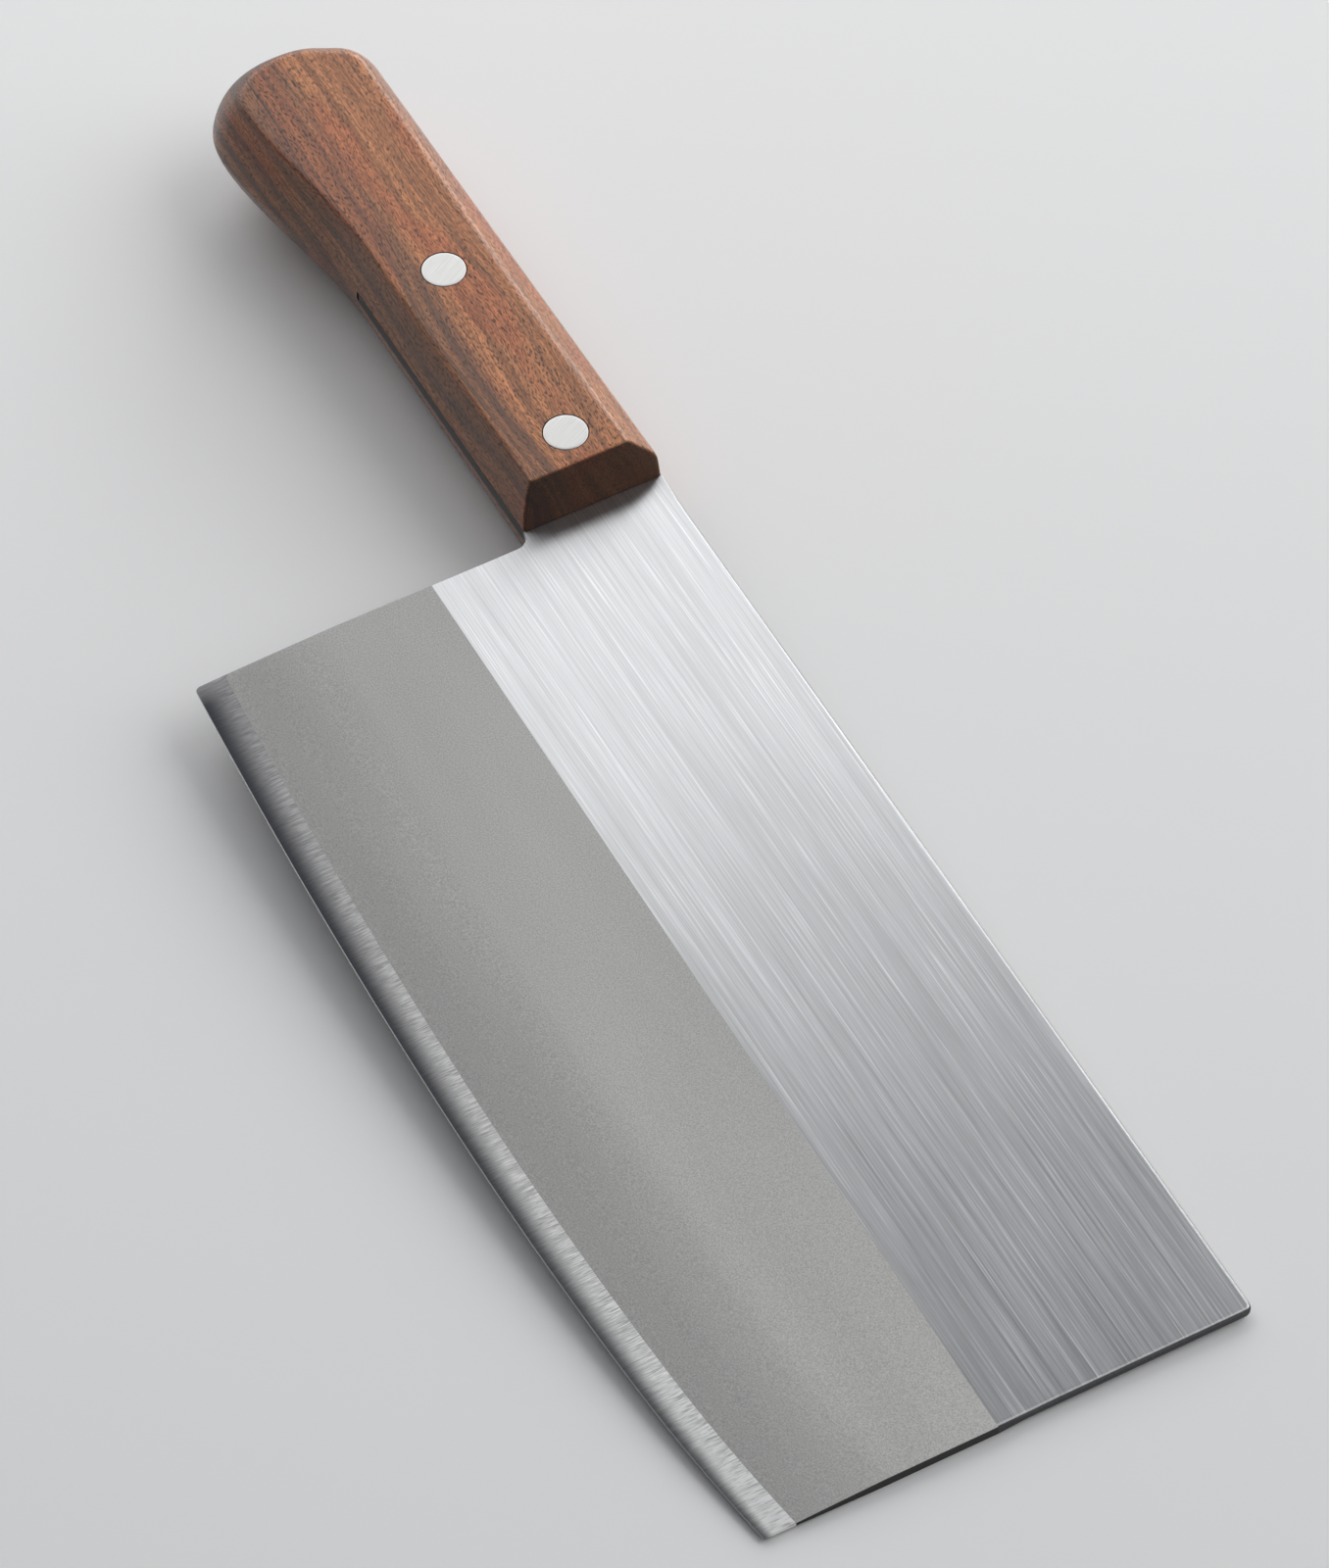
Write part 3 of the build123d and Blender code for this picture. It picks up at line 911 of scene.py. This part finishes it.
def makeHandle():
    h = handle
    level = handleLevels()
    top = level(h["half"])
    count = len(top)
    tangent = np.roll(top, -1, 0)[:, :2] - np.roll(top, 1, 0)[:, :2]
    tangent /= np.linalg.norm(tangent, axis=1)[:, None]
    inward = np.stack([-tangent[:, 1], tangent[:, 0]], 1)

    # How wide the top edge is rounded: more along the spine and at the butt than at the front
    size = []
    frontEnd = h["frontRake"] + h["frontCorner"]
    for x, y, z in top:
        wide = h["bellyRound"] + (h["buttRound"] - h["bellyRound"]) * ease(-x, *h["buttRange"])
        if y > h["spineSide"]:
            wide = h["spineRound"]
        size.append(h["frontRound"] + (wide - h["frontRound"]) * ease(-x, frontEnd, h["frontRoundEnd"]))
    size = np.array(size)
    for _ in range(6):
        size = (np.roll(size, 1) + 2 * size + np.roll(size, -1)) / 4

    rings = []
    shares = (0, 0.09, 0.18, 0.27, 0.36, 0.45, 0.52, 0.58, 0.64, 0.7, 0.78, 0.86, 0.93, 1.0)
    for share in shares:
        rings.append(np.array([level((h["half"] - size[k]) * share)[k] for k in range(count)]))
    base = rings[-1]
    inner = top.copy()
    inner[:, :2] += inward * size[:, None]
    for t in (0.17, 0.34, 0.5, 0.66, 0.83, 1.0):
        rings.append(base * (1 - t) ** 2 + top * 2 * t * (1 - t) + inner * t * t)

    points = []
    for ring in rings[:0:-1]:
        points += [(x, y, -z) for x, y, z in ring]
    for ring in rings:
        points += [tuple(p) for p in ring]
    ringCount = 2 * len(rings) - 1
    faces = []
    for r in range(ringCount - 1):
        for k in range(count):
            n = (k + 1) % count
            faces.append((r * count + k, r * count + n, (r + 1) * count + n, (r + 1) * count + k))
    faces.append(list(range(count))[::-1])
    faces.append([(ringCount - 1) * count + k for k in range(count)])
    piece = makePiece("handleWood", points, faces, [handleWood])
    # The slot, the bores and the seats of the heads. The cutters reach well out of the wood
    # wherever they leave it.
    s = h["slotHalf"]
    cutFrom(piece, *brick((-h["slotLength"], -45, -s), (5, 6, s)))
    outside = 12
    for place in rivetPlaces.values():
        cutFrom(piece, *barrel(place, h["boreRadius"], -outside, outside, h["boreSides"]))
        for low, high in ((h["seatLevel"], outside), (-outside, -h["seatLevel"])):
            cutFrom(piece, *barrel(place, h["seatRadius"], low, high, h["seatSides"]))
    softShading(piece, h["sharpAngle"])
    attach(piece, "root")
    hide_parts("handle")
    return piece


handlePiece = makeHandle()
print("handle built,", len(handlePiece.data.polygons), "faces")


# Rivets, turned on a lathe

rivet = {"headRadius": 4.0, "headDepth": 2.4, "half": 10.5, "rim": 0.16, "tubeRadius": 2.6,
         "boreRadius": 1.84, "shankRadius": 1.8, "endGap": 0.4, "tipChamfer": 0.5, "sides": 96,
         "sharpAngle": 40}


def turned(name, centre, profile, side):
    # A closed body turned from (radius, height) points; side -1 turns it over
    sides = rivet["sides"]
    points, faces = [], []
    for radius, z in profile:
        for k in range(sides):
            a = 2 * math.pi * k / sides
            points.append((centre[0] + radius * math.cos(a), centre[1] + radius * math.sin(a), z * side))
    for r in range(len(profile) - 1):
        for k in range(sides):
            n = (k + 1) % sides
            faces.append((r * sides + k, r * sides + n, (r + 1) * sides + n, (r + 1) * sides + k))
    faces.append(list(range(sides)))
    faces.append([(len(profile) - 1) * sides + k for k in range(sides)])
    piece = makePiece(name, points, faces, [rivetMetal])
    softShading(piece, rivet["sharpAngle"])
    return piece


def headProfile():
    r = rivet
    top, rim, radius = r["half"], r["rim"], r["headRadius"]
    rounded = [(radius - rim * (1 - math.sin(a)), top - rim * (1 - math.cos(a)))
               for a in (math.radians(d) for d in (0, 22, 45, 68, 90))]
    flat = [(radius * 0.25, top), (radius * 0.6, top), (radius * 0.85, top)]
    return flat + rounded + [(radius, top - r["headDepth"])]


def makeRivet(place, centre):
    r = rivet
    under = r["half"] - r["headDepth"]
    tubeEnd = -under + r["endGap"]
    socket = turned(place + "RivetSocket", centre, headProfile() + [
        (r["tubeRadius"], under), (r["tubeRadius"], tubeEnd), (r["boreRadius"], tubeEnd),
        (r["boreRadius"], under)], 1)
    pin = turned(place + "RivetPin", centre, headProfile() + [
        (r["shankRadius"], under), (r["shankRadius"], tubeEnd + r["tipChamfer"]),
        (r["shankRadius"] - r["tipChamfer"], tubeEnd)], -1)
    for piece, node in ((socket, place + "_rivet_socket"), (pin, place + "_rivet_pin")):
        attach(piece, "root")
        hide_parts(node)


for place, centre in rivetPlaces.items():
    makeRivet(place, centre)
print("rivets built")


# Floor, light and camera

stage = {
    "restNormal": (-0.0452, 0.0062, 0.99896), "floorSize": 12.0, "floorGap": 0.00002,
    "litFloor": (0.35, 0.35, 0.35, 1), "seenFloor": (0.93, 0.93, 0.925, 1), "floorRoughness": 0.75,
    "skyColour": (0.93, 0.95, 1.0, 1), "skyStrength": 0.25, "seenSky": (0.93, 0.93, 0.93, 1),
    "towardsLamps": (-0.45, 0.65, 0.61), "darkSide": 0.35, "darkRange": (-0.6, 0.35),
    "backdropRange": (0.32, 0.62),
}
# Places and sizes in metres
lamps = {
    "sideBox": {"place": (-0.937, 0.3, 0.544), "target": (-0.489, 0.3, 0.006),
                "size": (1.4, 1.075), "power": 5.8},
    "farBox": {"place": (-1.15, 1.5, 0.55), "target": (-0.06, 0.03, 0.0),
               "size": (1.3, 0.7), "power": 6.5},
    "lowBox": {"place": (-1.2, 1.6, 0.2), "target": (-0.06, 0.03, 0.0),
               "size": (1.4, 0.36), "power": 3.0},
    "spineBox": {"place": (0.5, 2.0, 1.7), "target": (0.0, 0.0, 0.0),
                 "size": (2.8, 2.4), "power": 34.0},
}


def makeFloor():
    material, tree, shader = newMaterial("paleFloor")
    # The floor looks pale, and throws less light back on the object than it shows
    path = tree.nodes.new("ShaderNodeLightPath")
    seen = maths(tree, "MAXIMUM", path.outputs["Is Camera Ray"], path.outputs["Is Glossy Ray"])
    seen = maths(tree, "MAXIMUM", seen, path.outputs["Is Transmission Ray"])
    colour = mixColour(tree, seen, stage["litFloor"], stage["seenFloor"])
    tree.links.new(colour, shader.inputs["Base Color"])
    shader.inputs["Roughness"].default_value = stage["floorRoughness"]
    # It lies square to restNormal, just below the lowest point of the part
    normal = Vector(stage["restNormal"]).normalized()
    level = min(normal.dot(v.co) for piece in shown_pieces() for v in piece.data.vertices)
    turn = normal.to_track_quat("Z", "Y").to_matrix().to_4x4()
    s = stage["floorSize"] / 2
    mesh = bpy.data.meshes.new("floor")
    mesh.from_pydata([(-s, -s, 0), (s, -s, 0), (s, s, 0), (-s, s, 0)], [], [(0, 1, 2, 3)])
    mesh.materials.append(material)
    floor = bpy.data.objects.new("floor", mesh)
    floor.matrix_world = Matrix.Translation(normal * (level - stage["floorGap"])) @ turn
    bpy.context.scene.collection.objects.link(floor)
    floor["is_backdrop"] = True


def makeLight():
    world = bpy.data.worlds.new("studio")
    bpy.context.scene.world = world
    world.use_nodes = True
    tree = world.node_tree
    background = tree.nodes["Background"]
    path = tree.nodes.new("ShaderNodeLightPath")
    direction = tree.nodes.new("ShaderNodeTexCoord").outputs["Generated"]
    # Polished things show the pale backdrop too, as far up as it reaches
    mirrored = maths(tree, "MAXIMUM", path.outputs["Is Glossy Ray"], path.outputs["Is Transmission Ray"])
    upward = vectorMaths(tree, "DOT_PRODUCT", direction, (0, 0, 1))
    backdrop = remap(tree, upward, *stage["backdropRange"], 1.0, 0.0)
    seen = maths(tree, "MAXIMUM", path.outputs["Is Camera Ray"], product(tree, mirrored, backdrop))
    colour = mixColour(tree, seen, stage["skyColour"], stage["seenSky"])
    # The side away from the lamps is darker
    towardsLamps = vectorMaths(tree, "DOT_PRODUCT", direction, stage["towardsLamps"])
    sky = remap(tree, towardsLamps, *stage["darkRange"], stage["skyStrength"] * stage["darkSide"],
                stage["skyStrength"])
    unseen = maths(tree, "SUBTRACT", 1.0, seen)
    strength = maths(tree, "MULTIPLY_ADD", sky, unseen, seen)
    tree.links.new(colour, background.inputs["Color"])
    tree.links.new(strength, background.inputs["Strength"])
    for name, look in lamps.items():
        light = bpy.data.lights.new(name, "AREA")
        light.shape = "RECTANGLE"
        light.size, light.size_y = look["size"]
        light.energy = look["power"]
        lamp = bpy.data.objects.new(name, light)
        place, target = Vector(look["place"]), Vector(look["target"])
        lamp.location = place
        lamp.rotation_euler = (target - place).to_track_quat("-Z", "Y").to_euler()
        lamp.visible_camera = False
        bpy.context.scene.collection.objects.link(lamp)


# From the fit to the photograph, the place in mm
camera = {
    "place": (738.25, -359.05, 1043.4), "focal": 7900.0, "imageHeight": 1600.0, "sensor": 36.0,
    "turn": (477.6, 218.11, -181.01),
}


def makeCamera():
    # The turn is three angles, about z, x and z
    first, second, third = (math.radians(a) for a in camera["turn"])
    turn = Matrix.Rotation(third, 3, "Z") @ Matrix.Rotation(second, 3, "X") @ Matrix.Rotation(first, 3, "Z")
    rows = Matrix((turn[0], -turn[1], -turn[2]))
    data = bpy.data.cameras.new("camera")
    data.sensor_width = camera["sensor"]
    data.lens = camera["focal"] / camera["imageHeight"] * camera["sensor"]
    data.clip_start, data.clip_end = 0.05, 50
    eye = bpy.data.objects.new("camera", data)
    eye.matrix_world = Matrix.Translation(Vector(camera["place"]) * mm) @ rows.transposed().to_4x4()
    bpy.context.scene.collection.objects.link(eye)
    bpy.context.scene.camera = eye


makeFloor()
makeLight()
makeCamera()
bpy.context.scene.view_settings.view_transform = "Standard"
print("floor, light and camera ready")
